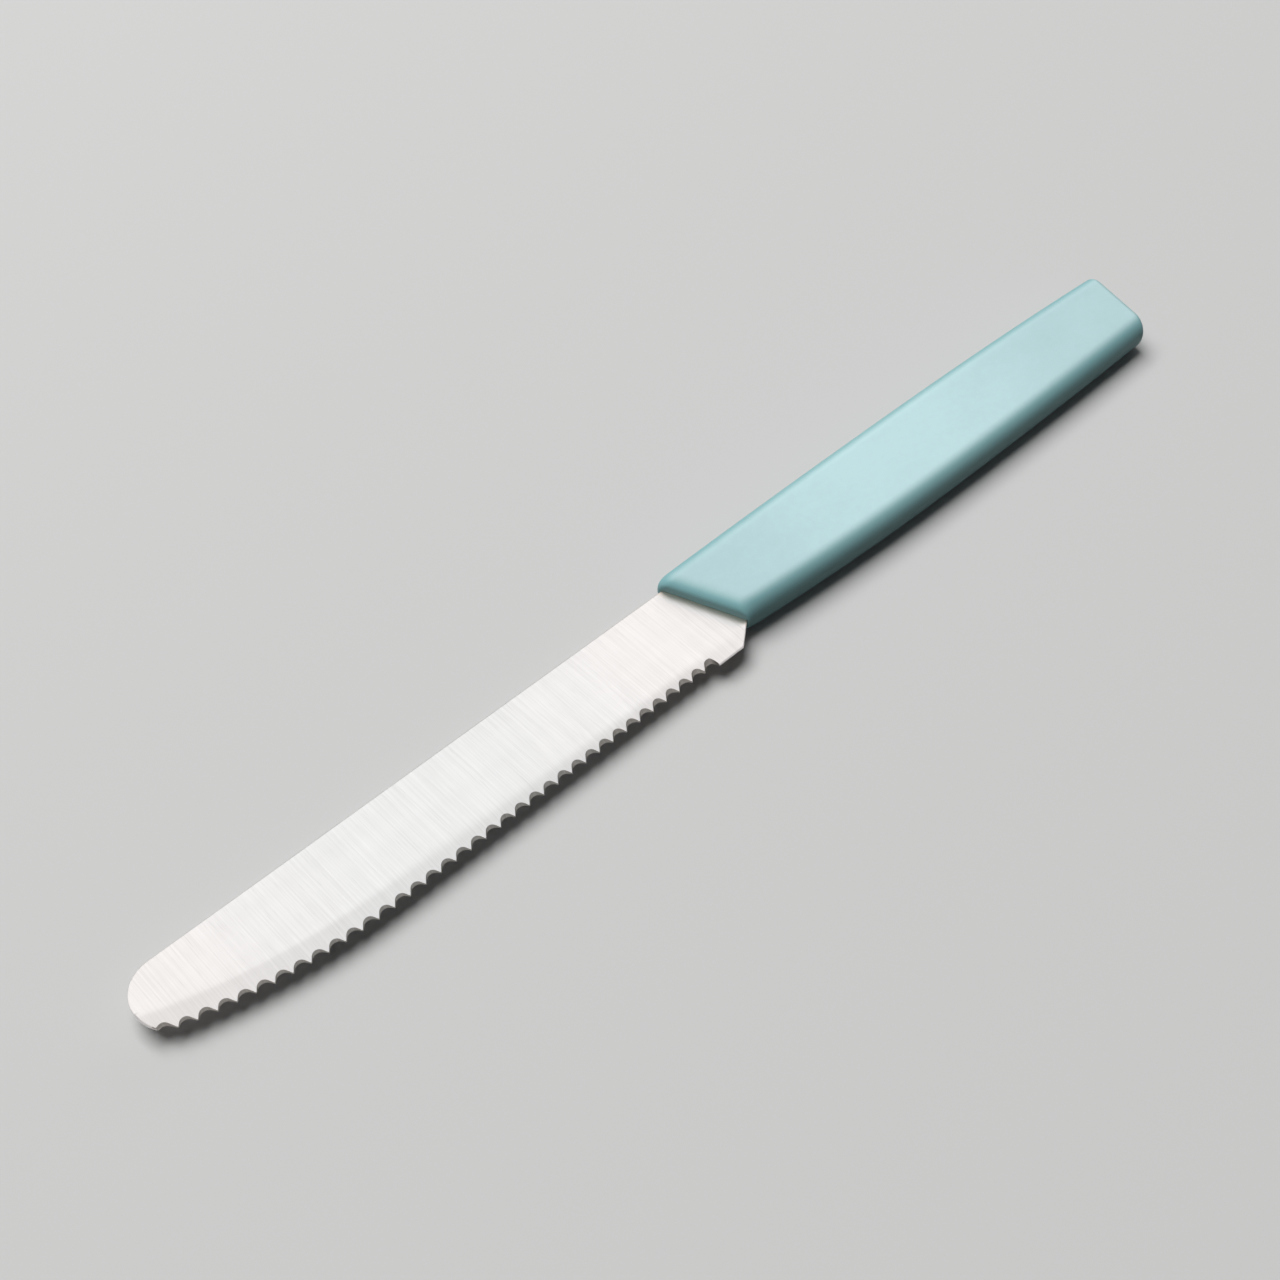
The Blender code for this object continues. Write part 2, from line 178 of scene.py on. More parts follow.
def stretched_noise(tree, place, per_metre, detail=2.0, roughness=0.5):
    """Noise with its own number of features per metre along X, Y and Z."""
    mapping = tree.nodes.new("ShaderNodeMapping")
    mapping.inputs["Scale"].default_value = per_metre
    noise = tree.nodes.new("ShaderNodeTexNoise")
    noise.inputs["Scale"].default_value = 1.0
    noise.inputs["Detail"].default_value = detail
    noise.inputs["Roughness"].default_value = roughness
    tree.links.new(place, mapping.inputs["Vector"])
    tree.links.new(mapping.outputs["Vector"], noise.inputs["Vector"])
    return noise.outputs["Fac"]


# %% Arithmetic in a node tree
def calculated(tree, operation, *values, hold=False):
    """One step of arithmetic on numbers and nodes' outputs. hold keeps it between 0 and 1."""
    step = tree.nodes.new("ShaderNodeMath")
    step.operation = operation
    step.use_clamp = hold
    for socket, value in zip(step.inputs, values):
        if isinstance(value, float):
            socket.default_value = value
        else:
            tree.links.new(value, socket)
    return step.outputs[0]


def weighted_sum(tree, start, parts):
    """start plus weight times (value - 1/2) for each (value, weight), held between 0 and 1."""
    total = start
    for value, weight in parts:
        centred = calculated(tree, "SUBTRACT", value, 0.5)
        total = calculated(tree, "MULTIPLY_ADD", centred, weight, total, hold=True)
    return total


# %% Numbers and colours that follow a share
def between(tree, share, low, high):
    """The number low where share is 0, and the number high where it is 1."""
    ranged = tree.nodes.new("ShaderNodeMapRange")
    ranged.inputs["To Min"].default_value = low
    ranged.inputs["To Max"].default_value = high
    tree.links.new(share, ranged.inputs["Value"])
    return ranged.outputs["Result"]


def mixed(tree, share, low, high, blend="MIX"):
    """The colour low where share is 0, and high where it is 1. Either may be a node's output."""
    mix = tree.nodes.new("ShaderNodeMix")
    mix.data_type = "RGBA"
    mix.blend_type = blend
    tree.links.new(share, mix.inputs[0])
    for socket, colour in ((mix.inputs[6], low), (mix.inputs[7], high)):
        if isinstance(colour, tuple):
            socket.default_value = (*colour, 1.0)
        else:
            tree.links.new(colour, socket)
    return mix.outputs[2]


def ramp(tree, value, start, end):
    """0 where value is below start and 1 where it is above end, with a smooth step between."""
    step = tree.nodes.new("ShaderNodeMapRange")
    step.interpolation_type = "SMOOTHSTEP"
    step.inputs["From Min"].default_value = start
    step.inputs["From Max"].default_value = end
    tree.links.new(value, step.inputs["Value"])
    return step.outputs["Result"]


# %% Where a point lies, and small relief
def away_from(tree, place, middle):
    """How far each point lies along X from the place middle, to either side."""
    axes = tree.nodes.new("ShaderNodeSeparateXYZ")
    tree.links.new(place, axes.inputs[0])
    return calculated(tree, "ABSOLUTE", calculated(tree, "SUBTRACT", axes.outputs["X"], middle))


def add_bump(tree, shader, height, depth):
    """Small relief, depth metres from the lowest to the highest value."""
    bump = tree.nodes.new("ShaderNodeBump")
    bump.inputs["Strength"].default_value = 1.0
    bump.inputs["Distance"].default_value = depth
    tree.links.new(height, bump.inputs["Height"])
    tree.links.new(bump.outputs["Normal"], shader.inputs["Normal"])


# %% Tones and grooves of the steel
STEEL_DARK = (0.67, 0.667, 0.664)
STEEL_LIGHT = (0.84, 0.838, 0.836)
# The hollows' walls: their darker steel colours are painted shade
SHADED_GROUND_DARK = (0.21, 0.200, 0.185)
SHADED_GROUND_LIGHT = (0.47, 0.456, 0.43)
STEEL_TONE = 0.45           # the tone halfway through every noise, from dark (0) to light (1)
# Features per metre along X, Y and Z
HAIRS = (4700.0, 260.0, 260.0)
STREAKS = (1100.0, 60.0, 60.0)
PRESSED = (14.0, 330.0, 40.0)
HAIRS_FROM = (0.62, 0.80)   # only this highest part of their noise counts
GROOVE_SHARPNESS = 0.6
GROOVE_RELIEF = 0.0000015
ROUGHER, SMOOTHER = 0.10, 0.04      # how much the fine grooves change the roughness
# Painted reflection: the steel's colour is tinted creamier towards both ends of the blade
PAINTED_REFLECTION_TINT = (1.075, 1.034, 1.022)
COOL_MIDDLE = -0.0575       # X of the place where the steel is neutral
COOL_REACH = 0.012          # it stays so for this far to either side,
WARM_REACH = 0.052          # and is at its creamiest from here on
# Painted shade: a darker, brownish tint in a narrow strip on the steel in front of the handle's mouth
MOUTH_SHADE_TINT = (1.0, 0.90, 0.81)
MOUTH_SHADE_REACH = (0.0016, 0.0003)      # this far in front of the mouth the browning begins and is full
FRONT_SLOPE = math.tan(math.radians(22.2))      # the handle's front is cut on this slant


# %% Brushed metal
def steel_finish(name, dark, light, grooves, rough, stretch):
    """Metal whose colour, roughness and relief all follow the same grooves.

    grooves gives the features per metre of the fine lines. Broader streaks lie along them, and a soft
    unevenness lies along the blade, where the belt has pressed a little more. The colour also takes a
    painted reflection, a creamier tint towards both ends, and a painted shade, a darker brownish strip in
    front of the mouth, which follows X + slope * Y, the same all along the handle's slanted front.
    """
    finish, tree, shader, place = new_finish(name)
    fine = stretched_noise(tree, place, grooves, detail=2.0, roughness=GROOVE_SHARPNESS)
    hairs = ramp(tree, stretched_noise(tree, place, HAIRS, detail=1.0), *HAIRS_FROM)
    streaks = stretched_noise(tree, place, STREAKS, detail=2.0)
    pressed = stretched_noise(tree, place, PRESSED, detail=1.0)
    weights = [(fine, 1.0), (hairs, -0.35), (streaks, 0.08), (pressed, 0.30)]
    tone = weighted_sum(tree, STEEL_TONE, weights)
    slanted = tree.nodes.new("ShaderNodeVectorMath")
    slanted.operation = "DOT_PRODUCT"
    slanted.inputs[1].default_value = (1.0, FRONT_SLOPE, 0.0)
    tree.links.new(place, slanted.inputs[0])
    # Painted shade: a darker, brownish strip on the steel just in front of the handle's mouth
    mouth_at = BLADE_SHOWING - TOTAL_LENGTH / 2 + FRONT_SLOPE * SPINE_Y
    mouth_shade_share = ramp(tree, slanted.outputs["Value"], mouth_at - MOUTH_SHADE_REACH[0], mouth_at - MOUTH_SHADE_REACH[1])
    # Painted reflection: the colour is tinted creamier towards both ends of the blade
    painted_reflection_share = ramp(tree, away_from(tree, place, COOL_MIDDLE), COOL_REACH, WARM_REACH)
    colour = mixed(tree, painted_reflection_share, mixed(tree, tone, dark, light), PAINTED_REFLECTION_TINT, "MULTIPLY")
    tree.links.new(mixed(tree, mouth_shade_share, colour, MOUTH_SHADE_TINT, "MULTIPLY"), shader.inputs["Base Color"])
    tree.links.new(between(tree, fine, rough + ROUGHER, rough - SMOOTHER), shader.inputs["Roughness"])
    shader.inputs["Metallic"].default_value = 1.0
    shader.inputs["Anisotropic"].default_value = stretch
    tangent = tree.nodes.new("ShaderNodeTangent")
    tangent.direction_type = "UV_MAP"
    tangent.uv_map = "UVMap"
    tree.links.new(tangent.outputs["Tangent"], shader.inputs["Tangent"])
    add_bump(tree, shader, fine, GROOVE_RELIEF)
    return finish


# %% The blade's two finishes
brushed_steel = steel_finish(
    "brushed_steel", STEEL_DARK, STEEL_LIGHT, (4200.0, 70.0, 70.0), rough=0.28, stretch=0.75
)
# The hollows' walls are rougher from the wheel, and their darker colours are painted shade
shaded_ground_steel = steel_finish(
    "shaded_ground_steel", SHADED_GROUND_DARK, SHADED_GROUND_LIGHT, (5200.0, 300.0, 300.0), rough=0.38, stretch=0.3
)
print("finishes:", brushed_steel.name, "and", shaded_ground_steel.name)

# %% [markdown]
# ## The line of the cutting edge
#
# Seen from above, the edge runs straight from the heel, then bends up along a slow belly, and turns
# round the blade's end in two short arcs. A point on it is known by one number, the distance from the
# heel. That single measure is what spaces the hollows evenly, round the belly too, as the grinding
# machine does when it indexes the blade on by one pitch. A drawn Bezier curve would look the same, but
# its own parameter runs unevenly, and the spacing would have to be measured afterwards.

# %% Sizes of the blade
BLADE_THICKNESS = 0.0012
BLADE_WIDTH = 0.0170
TIP_EDGE_RADIUS = 0.00675
BELLY_RADIUS = 0.108
BELLY_START = 0.03675
HEEL_START = 0.0997
HEEL_LENGTH = 0.0053
HEEL_RISE = math.radians(39.0)
POINTS_INSET = 0.00069
SCALLOP_COUNT = 36
SCALLOP_PITCH = 0.002783
COLUMNS_PER_HOLLOW = 20
EARLY_COLUMNS = 2           # the first hollow begins this many columns before the heel's corner
FIRST_SHIFT = SCALLOP_PITCH * EARLY_COLUMNS / COLUMNS_PER_HOLLOW
SERRATED_LENGTH = SCALLOP_COUNT * SCALLOP_PITCH - FIRST_SHIFT

BELLY_CENTRE = np.array([BELLY_START, BELLY_RADIUS - BLADE_WIDTH])
arc_reach = BELLY_RADIUS - TIP_EDGE_RADIUS
end_y = BELLY_CENTRE[1] - math.sqrt(arc_reach ** 2 - (BELLY_START - TIP_EDGE_RADIUS) ** 2)
END_CENTRE = np.array([TIP_EDGE_RADIUS, end_y])
UPPER_RADIUS = -end_y
TOUCH = math.atan2(end_y - BELLY_CENTRE[1], TIP_EDGE_RADIUS - BELLY_START) % (2 * math.pi)
STRAIGHT = HEEL_START - BELLY_START
TO_TOUCH = STRAIGHT + (1.5 * math.pi - TOUCH) * (BELLY_RADIUS - POINTS_INSET)
TO_END = TO_TOUCH + (TOUCH - math.pi) * (TIP_EDGE_RADIUS - POINTS_INSET)
print("edge to the blade's end: %.2f mm, serrated: %.2f mm" % (1000 * TO_END, 1000 * SERRATED_LENGTH))


# %% The outline and the way it faces
def edge_line(distance):
    """The blank's outline at each distance from the heel, and the unit vector that points out of it.

    A straight line, an arc about the belly's centre, and an arc about the round end's follow each other.
    """
    belly = (distance - STRAIGHT) / (BELLY_RADIUS - POINTS_INSET)
    turn = TOUCH - (distance - TO_TOUCH) / (TIP_EDGE_RADIUS - POINTS_INSET)
    facing_belly = np.stack([-np.sin(belly), -np.cos(belly)], axis=-1)
    facing_end = np.stack([np.cos(turn), np.sin(turn)], axis=-1)
    on_straight = (distance <= STRAIGHT)[..., None]
    on_belly = (distance <= TO_TOUCH)[..., None]
    facing = np.where(on_straight, [0.0, -1.0], np.where(on_belly, facing_belly, facing_end))
    straight = np.stack([HEEL_START - distance, np.full_like(distance, -BLADE_WIDTH)], axis=-1)
    belly_place = BELLY_CENTRE + facing_belly * BELLY_RADIUS
    end_place = END_CENTRE + facing_end * TIP_EDGE_RADIUS
    return np.where(on_straight, straight, np.where(on_belly, belly_place, end_place)), facing


def points_line(distance):
    """The line on which the points stand: the outline, moved in by an inset that dies out at the end."""
    place, facing = edge_line(distance)
    inset = POINTS_INSET * np.clip(1 - (distance - TO_TOUCH) / SCALLOP_PITCH, 0.0, 1.0)
    return place - facing * inset[..., None]


# %% [markdown]
# ## The thickness, as a height over the plan
#
# The blade is thin and nowhere overhangs, so its upper face is a height over the plan. Three things set
# that height: the flat of the sheet, the band that a large wheel has ground along the edge, and the
# steep round-nosed hollows of the serration. The lowest of them wins, just as each wheel takes away what
# the one before had left. Boolean cuts would give the same forms, with ragged triangles at the rims.
#
# The band is about a fifth of the blade's width, and widest along the belly. Its upper edge is soft: it
# shows as a slow change of light and not as a line. Half a parabola, which runs on into a straight
# slope, gives that edge.

# %% The faces
HALF = BLADE_THICKNESS / 2
# The ground band's width, and how much of it is its soft upper edge, at five places along the blade
GRIND_PLACES = (0.030, 0.048, 0.063, 0.077, 0.090)
GRIND_WIDTHS = (0.00395, 0.0041, 0.0034, 0.0030, 0.00275)
GRIND_ROLLS = (0.00095, 0.0020, 0.0020, 0.0018, 0.0014)
GRIND_FADE = 0.006          # the grind grows weaker over this length before the heel,
GRIND_FADE_ON = 0.002       # and on over this one behind it,
GRIND_LEFT = 0.5            # until this share of it is left
EDGE_HALF = 0.00010         # half the thickness at the points


def face_height(along, across):
    """Half the thickness: the sheet's half, less the drop of the ground band.

    With u the way outwards from the band's upper edge, the drop is slope u^2 / (2 roll) up to u = roll,
    and slope (u - roll / 2) beyond. The slope is the one that leaves EDGE_HALF at the points.
    """
    from_centre = np.hypot(along - BELLY_CENTRE[0], across - BELLY_CENTRE[1])
    inside_belly = BELLY_RADIUS - POINTS_INSET - from_centre
    inside = np.where(along > BELLY_START, across + BLADE_WIDTH - POINTS_INSET, inside_belly)
    width = np.interp(along, GRIND_PLACES, GRIND_WIDTHS)
    roll = np.interp(along, GRIND_PLACES, GRIND_ROLLS)
    slope = (HALF - EDGE_HALF) / (width - roll / 2)
    outwards = np.clip(width - inside, 0.0, None)
    drop = slope * np.where(outwards < roll, outwards ** 2 / (2 * roll), outwards - roll / 2)
    strength = smooth_step(HEEL_START + GRIND_FADE_ON, HEEL_START - GRIND_FADE, along)
    return np.maximum(HALF - drop * (GRIND_LEFT + (1 - GRIND_LEFT) * strength), EDGE_HALF)


at_point = face_height(np.array(BLADE_SHOWING / 2), np.array(POINTS_INSET - BLADE_WIDTH))
print("thickness at a point: %.2f mm" % (2000 * at_point))


# %% The nose of one hollow
HOLLOW_DEPTH = 0.00096
NOSE_RADIUS = 0.00108
FLANK = math.radians(55)


def nose_curve(sideways):
    """How far in a hollow reaches: a round nose, running out into two straight flanks that touch it."""
    turn = NOSE_RADIUS * math.sin(FLANK)
    off = np.abs(sideways)
    arc = NOSE_RADIUS - np.sqrt(NOSE_RADIUS ** 2 - np.minimum(off, turn) ** 2)
    return HOLLOW_DEPTH - arc - np.clip(off - turn, 0.0, None) * math.tan(FLANK)


across_one = nose_curve(np.linspace(-0.5, 0.5, 101) * SCALLOP_PITCH)
print("a hollow reaches in by %.2f mm, between points %.2f mm apart"
      % (1000 * (across_one.max() - across_one.min()), 1000 * SCALLOP_PITCH))


# %% All the hollows
HOLLOW_LEAN = math.radians(6)
POINT_SOFTNESS = 0.00030
FACET_RISE = math.tan(math.radians(58))
HEEL_SIDE_START = 0.00034   # from here the first hollow's side towards the heel falls
HEEL_SIDE_CURVE = 2000.0    # by this times the square of the way
OUT_OF_REACH = 0.01         # a height above everything, where there is no hollow
WHOLE = 1e-6                # a place this little short of a whole pitch counts as there


def soft_minimum(one, other, softness):
    """The smaller of two numbers, with the corner between them rounded by a short parabola."""
    near = np.clip(0.5 + 0.5 * (other - one) / softness, 0.0, 1.0)
    return other + (one - other) * near - softness * near * (1 - near)


def hollow_height(along, across, distance):
    """The lowest of the hollows near this distance.

    Each is a long groove with a round nose, which rises inwards at one steady slope. All of them lean
    the same way, because the blade is only moved along under the wheel and never turned.
    """
    lean_x, lean_y = math.sin(HOLLOW_LEAN), math.cos(HOLLOW_LEAN)
    lowest = np.full(np.broadcast(along, distance).shape, OUT_OF_REACH)
    for step in (-1, 0, 1):
        number = np.floor((distance + FIRST_SHIFT) / SCALLOP_PITCH + WHOLE) + step
        place = points_line((number + 0.5) * SCALLOP_PITCH - FIRST_SHIFT)
        away_x = along - place[..., 0]
        away_y = across - place[..., 1]
        inwards = away_x * lean_x + away_y * lean_y
        sideways = away_x * lean_y - away_y * lean_x
        reach = nose_curve(sideways)
        heel_side = HOLLOW_DEPTH - HEEL_SIDE_CURVE * np.clip(sideways - HEEL_SIDE_START, 0.0, None) ** 2
        reach = np.where((number == 0) & (sideways > 0), heel_side, reach)
        height = -EDGE_HALF + (inwards - reach) * FACET_RISE
        real = (number >= 0) & (number < SCALLOP_COUNT)
        lowest = np.where(real, soft_minimum(height, lowest, POINT_SOFTNESS), lowest)
    return lowest


# %% [markdown]
# ## Columns across the blade
#
# The grid needs one column of points across the blade for each place along it. Through the hollows the
# columns stand close together, with one exactly on every point, so each point stays crisp. Each column
# starts on the outline, runs straight in for a few millimetres, and then on to the spine. Behind the
# heel the same columns follow the shoulder and the hidden tang, so blade and tang are one sheet.

# %% Sizes of the tang
SHOULDER = BLADE_SHOWING + 0.0045
TANG_END = BLADE_SHOWING + 0.096
TANG_FRONT_HALF = 0.0056
TANG_END_HALF = 0.0050
TANG_CENTRE = -0.0074
STRAIGHT_IN = 0.0052
STRAIGHT_SHARE = 0.3        # the columns' straight stretch is never more than this share of them
CORNER_LENGTH = 0.0024      # over this length behind the shoulder the columns stand closer together
COLUMN_GAP = 0.0003
JUST_BEHIND = 0.00005       # the tang's first column stands this far behind the shoulder
ROUND_COLUMNS = 16
ROUND_CROWDING = 0.9        # below 1, the columns round the end stand wider apart at first


def heel_line(along):
    """The plain edge behind the serration, and its rise to the handle: the higher of two lines."""
    rise = -BLADE_WIDTH + (along - HEEL_START - HEEL_LENGTH) * math.tan(HEEL_RISE)
    return np.maximum(-BLADE_WIDTH, rise)


def tang_half(along):
    """Half the tang's width: an even taper, closed by half a circle."""
    start = TANG_END - TANG_END_HALF
    share = np.clip((along - SHOULDER) / (start - SHOULDER), 0.0, 1.0)
    taper = TANG_FRONT_HALF + (TANG_END_HALF - TANG_FRONT_HALF) * share
    beyond = np.clip((along - start) / TANG_END_HALF, 0.0, 1.0)
    return taper * np.sqrt(1 - beyond ** 2)


print("tang: %.1f mm long inside the handle" % (1000 * (TANG_END - BLADE_SHOWING)))


# %% The columns behind the serration
def upright_columns():
    """Columns at right angles to the spine, from the tang's end through the shoulder to the heel."""
    turn = np.linspace(0.0, math.pi / 2, 9)
    tang_end = TANG_END - TANG_END_HALF * (1 - np.cos(turn))
    tang = np.linspace(TANG_END - TANG_END_HALF, SHOULDER + CORNER_LENGTH + COLUMN_GAP, 22)[1:]
    corner = np.linspace(SHOULDER + CORNER_LENGTH, SHOULDER + JUST_BEHIND, 9)
    neck = np.linspace(SHOULDER, HEEL_START + HEEL_LENGTH, 8)
    heel = np.linspace(HEEL_START + HEEL_LENGTH, HEEL_START, 9)[1:]
    along = np.concatenate([tang_end, tang, corner, neck, heel])
    in_tang = along > SHOULDER + JUST_BEHIND / 2
    upper = np.where(in_tang, TANG_CENTRE + tang_half(along), 0.0)
    tang_lower = np.minimum(TANG_CENTRE - tang_half(along), heel_line(along))
    lower = np.where(in_tang, tang_lower, heel_line(along))
    outline = np.stack([along, lower], axis=-1)
    inward = np.tile([0.0, 1.0], (len(along), 1))
    depth = np.minimum(STRAIGHT_IN, STRAIGHT_SHARE * (upper - lower))
    spine = np.stack([along, upper], axis=-1)
    return outline, inward, depth, spine, np.full(len(along), -1.0)


# %% The columns through the serration and round the end
def edge_columns():
    """Columns that start square to the cutting edge.

    Along the belly they run on to the spine. Round the end, the far ends of the columns move on along
    the spine and down the upper arc, until both ends of a column meet on the blade's end.
    """
    column_count = SCALLOP_COUNT * COLUMNS_PER_HOLLOW - EARLY_COLUMNS + 1
    hollows = np.arange(column_count) * (SCALLOP_PITCH / COLUMNS_PER_HOLLOW)
    leaving = np.linspace(0.0, 1.0, ROUND_COLUMNS + 1)[1:] ** ROUND_CROWDING
    beyond = SERRATED_LENGTH + leaving * (TO_END - SERRATED_LENGTH)
    distance = np.concatenate([hollows, beyond])
    outline, facing = edge_line(distance)
    turned = np.clip((distance - TO_TOUCH) / (TO_END - TO_TOUCH), 0.0, 1.0)
    depth = STRAIGHT_IN * np.sqrt(1 - turned)
    straight_spine = outline[:, 0] + outline[:, 1] * facing[:, 0] / -facing[:, 1]
    touch_spine = END_CENTRE[0] + UPPER_RADIUS * math.cos(TOUCH) / math.sin(TOUCH)
    flat_part = touch_spine - UPPER_RADIUS
    gone = turned * (flat_part + UPPER_RADIUS * math.pi / 2)
    angle = np.clip(gone - flat_part, 0.0, None) / UPPER_RADIUS
    round_x = np.where(gone < flat_part, touch_spine - gone, UPPER_RADIUS * (1 - np.sin(angle)))
    spine_x = np.where(turned > 0, round_x, straight_spine)
    spine = np.stack([spine_x, -UPPER_RADIUS * (1 - np.cos(angle))], axis=-1)
    return outline, -facing, depth, spine, distance


both = [np.concatenate(arrays) for arrays in zip(upright_columns(), edge_columns())]
outline, inward, depth, spine, distance = both
print("columns across the blade:", len(distance))

# %% [markdown]
# ## Where the hollows meet the faces
#
# The rim of a hollow is where its steep wall cuts through the upper face, and the cutting edge is where
# the same wall comes out below. Both have to lie exactly on rows of the grid, or the rims would look
# frayed. Halving an interval thirty times finds them for all columns at once.

# %% Rims and cutting edge
ARRIS = 0.00014             # the small rounding that tumbling leaves on the plain edges
SPINE_ARRIS = 0.00005       # the spine is only deburred
ARRIS_SHARE = 0.3           # where a column is short, an arris takes this share of its straight stretch
arris = np.minimum(ARRIS, ARRIS_SHARE * depth)
spine_arris = np.minimum(SPINE_ARRIS, ARRIS_SHARE * depth)
HALVINGS = 30
uncut = distance < 0


def column_place(inside):
    """Plan coordinates this far in from the outline, along each column's first straight stretch."""
    return outline[:, 0] + inward[:, 0] * inside, outline[:, 1] + inward[:, 1] * inside


def edge_height(inside):
    """The lower of the hollows and of the small arris, this far in from the outline."""
    along, across = column_place(inside)
    hollow = np.where(uncut, 1.0, hollow_height(along, across, np.maximum(distance, 0.0)))
    return np.minimum(hollow, face_height(along, across) - arris + inside)


def crossing(side):
    """How far in the edge's own surface meets the upper (+1) or lower (-1) face, by halving."""
    low, high = np.zeros_like(depth), depth.copy()
    for _ in range(HALVINGS):
        middle = (low + high) / 2
        below = edge_height(middle) < side * face_height(*column_place(middle))
        low, high = np.where(below, middle, low), np.where(below, high, middle)
    return (low + high) / 2


rim = np.where(depth > 0, crossing(1), 0.0)
cut = np.where(depth > 0, crossing(-1), 0.0)
print("hollows from %.2f to %.2f mm deep at the rim" % (1000 * rim.min(), 1000 * rim.max()))

# %% [markdown]
# ## The blade's surface
#
# Each column now becomes a closed ring: over the upper face to the spine, down the narrow side, back
# under the lower face, and up the ground wall of the hollow. Rows crowd together where the surface
# turns, and the flat of the blade needs only a few. A Subdivision Surface would spread points evenly
# and round the rims away.

# %% How the rows are spaced
FACET_ROWS = 7
FACET_SAG = 0.00009         # the wheel leaves the wall slightly hollow,
SAG_FROM = (0.0002, 0.0006)         # fully so where the wall is wider than the second of these
LOWER_ARRIS_SHARE = 0.4     # the lower arris takes at most this share of the plain side
NEAR_SHARES = (0.0, 0.02, 0.08, 0.17, 0.27, 0.36, 0.44, 0.51, 0.58, 0.65, 0.72, 0.79, 0.86, 0.93)
FAR_SHARES = (*np.linspace(0.0, 0.985, 20), 1.0)
CRISP = math.radians(47)    # creases steeper than this stay crisp


def row(along, across, height):
    """Plan places and heights, stacked as one row of points."""
    return np.stack([along, across, height], axis=-1)


def stretch_end():
    """Where each column's straight stretch ends, and the unit vector from the spine towards it."""
    end = np.stack(column_place(depth), axis=-1)
    length = np.linalg.norm(end - spine, axis=1)
    return end, (end - spine) / np.maximum(length, SAME_POINT)[:, None]


# %% Rows over the two faces
def inner_rows(start, side, shares):
    """Rows from just inside the edge to the end of each column's straight stretch."""
    rows = []
    for share in shares:
        along, across = column_place(start + (depth - start) * share)
        rows.append(row(along, across, side * face_height(along, across)))
    return rows


def outer_rows(side, shares):
    """Rows from the end of the straight stretch on to the spine's arris."""
    begin, inwards = stretch_end()
    stop = spine + inwards * spine_arris[:, None]
    rows = []
    for share in shares:
        place = begin + (stop - begin) * share
        rows.append(row(place[:, 0], place[:, 1], side * face_height(place[:, 0], place[:, 1])))
    return rows


# %% The ground wall and the narrow sides
def wall_rows():
    """Down the hollow's wall from rim to cutting edge, or down the arris and the plain side."""
    rows = []
    for share in np.linspace(0.0, 1.0, FACET_ROWS + 1)[1:]:
        inside = rim + (cut - rim) * share
        along, across = column_place(inside)
        hollowed = FACET_SAG * math.sin(math.pi * share) * smooth_step(*SAG_FROM, rim - cut)
        rows.append(row(along, across, edge_height(inside) - hollowed))
    along, across = column_place(cut)
    top = edge_height(cut)
    bottom = -face_height(along, across)
    lower_arris = np.clip(LOWER_ARRIS_SHARE * (top - bottom), 0.0, arris)
    for share in (0.5, 1.0):
        rows.append(row(along, across, top + (bottom + lower_arris - top) * share))
    return rows, cut + lower_arris


def spine_rows():
    """The narrow side along the spine, with the same number of rows as the edge's wall."""
    inwards = stretch_end()[1]
    half = face_height(spine[:, 0], spine[:, 1])
    rows = []
    for share in np.linspace(0.0, 1.0, FACET_ROWS + 1)[1:]:
        place = spine + inwards * (spine_arris * (1 - share))[:, None]
        rows.append(row(place[:, 0], place[:, 1], half - spine_arris * share))
    for share in (0.5, 1.0):
        height = (half - spine_arris) * (1 - 2 * share)
        rows.append(row(spine[:, 0], spine[:, 1], height))
    return rows


# %% All rows, once round
wall, under = wall_rows()
upper_half = wall[::-1] + inner_rows(rim, 1, NEAR_SHARES) + outer_rows(1, FAR_SHARES) + spine_rows()
lower_half = outer_rows(-1, FAR_SHARES[::-1]) + inner_rows(under, -1, NEAR_SHARES[::-1])
plan = np.stack(upper_half + lower_half, axis=1)
blade_rings = in_frame(plan[..., 0], plan[..., 1], plan[..., 2])
print("rows round the blade:", blade_rings.shape[1])

# %% Make the blade
PLAIN_ROWS = 2              # the ring starts with these rows of the plain side, and then has the wall
is_ground = np.zeros((len(distance) - 1, blade_rings.shape[1]), bool)
serrated = (distance[:-1] >= 0) & (distance[:-1] < SERRATED_LENGTH) & (distance[1:] > 0)
is_ground[serrated, PLAIN_ROWS:len(wall)] = True
blade = tube_object(
    "brushed_blade",
    blade_rings,
    len(upper_half),
    [brushed_steel, shaded_ground_steel],
    finish_of_quad=is_ground,
    sharp=CRISP,
)
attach(blade, "root")
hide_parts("blade")
print("blade faces:", len(blade.data.polygons))

# %% [markdown]
# ## Moulded plastic
#
# The handle is a single shot of coloured plastic with a satin skin. The mould's fine spark-eroded
# texture blurs every reflection, so the plastic reads as soft and even, with only a slow change of tone
# where it has flowed and cooled. Two very fine noises make the skin, one for the relief and one for the
# gloss, and a broad one moves the colour by a few hundredths.
#
# The rounded sides are painted a darker, deeper aqua than the flats, as painted shade for the light that
# falls off over the rounding. The colour is also darker towards both ends of the handle. How far the skin
# has turned away from the flats is stored on the mesh, as an attribute, so the two colours blend just
# where the shape itself turns. Two materials side by side would show a hard line there.

# %% Tones and grain of the plastic
AQUA_FLAT_DEEP = (0.429, 0.610, 0.632)
AQUA_FLAT_PALE = (0.512, 0.721, 0.741)
# The rounded sides' colours: darker, as painted shade
AQUA_SHADED_SIDE_DEEP = (0.215, 0.435, 0.455)
AQUA_SHADED_SIDE_PALE = (0.255, 0.475, 0.492)
PLASTIC_TONE = 0.55         # the tone halfway through every noise, from deep (0) to pale (1)
HANDLE_MIDDLE = 0.045       # X of the handle's brightest stretch
ENDS_REACH = (0.008, 0.048)         # this far from it the tone begins to fall and has fallen
# Features per metre along X, Y and Z
SKIN_GRAIN = (5200.0, 5200.0, 5200.0)
GLOSS_GRAIN = (700.0, 900.0, 900.0)
FLOW_PATCHES = (90.0, 160.0, 160.0)
SATIN = (0.42, 0.54)        # the roughness moves between these
PLASTIC_IOR = 1.49
SKIN_RELIEF = 0.000004

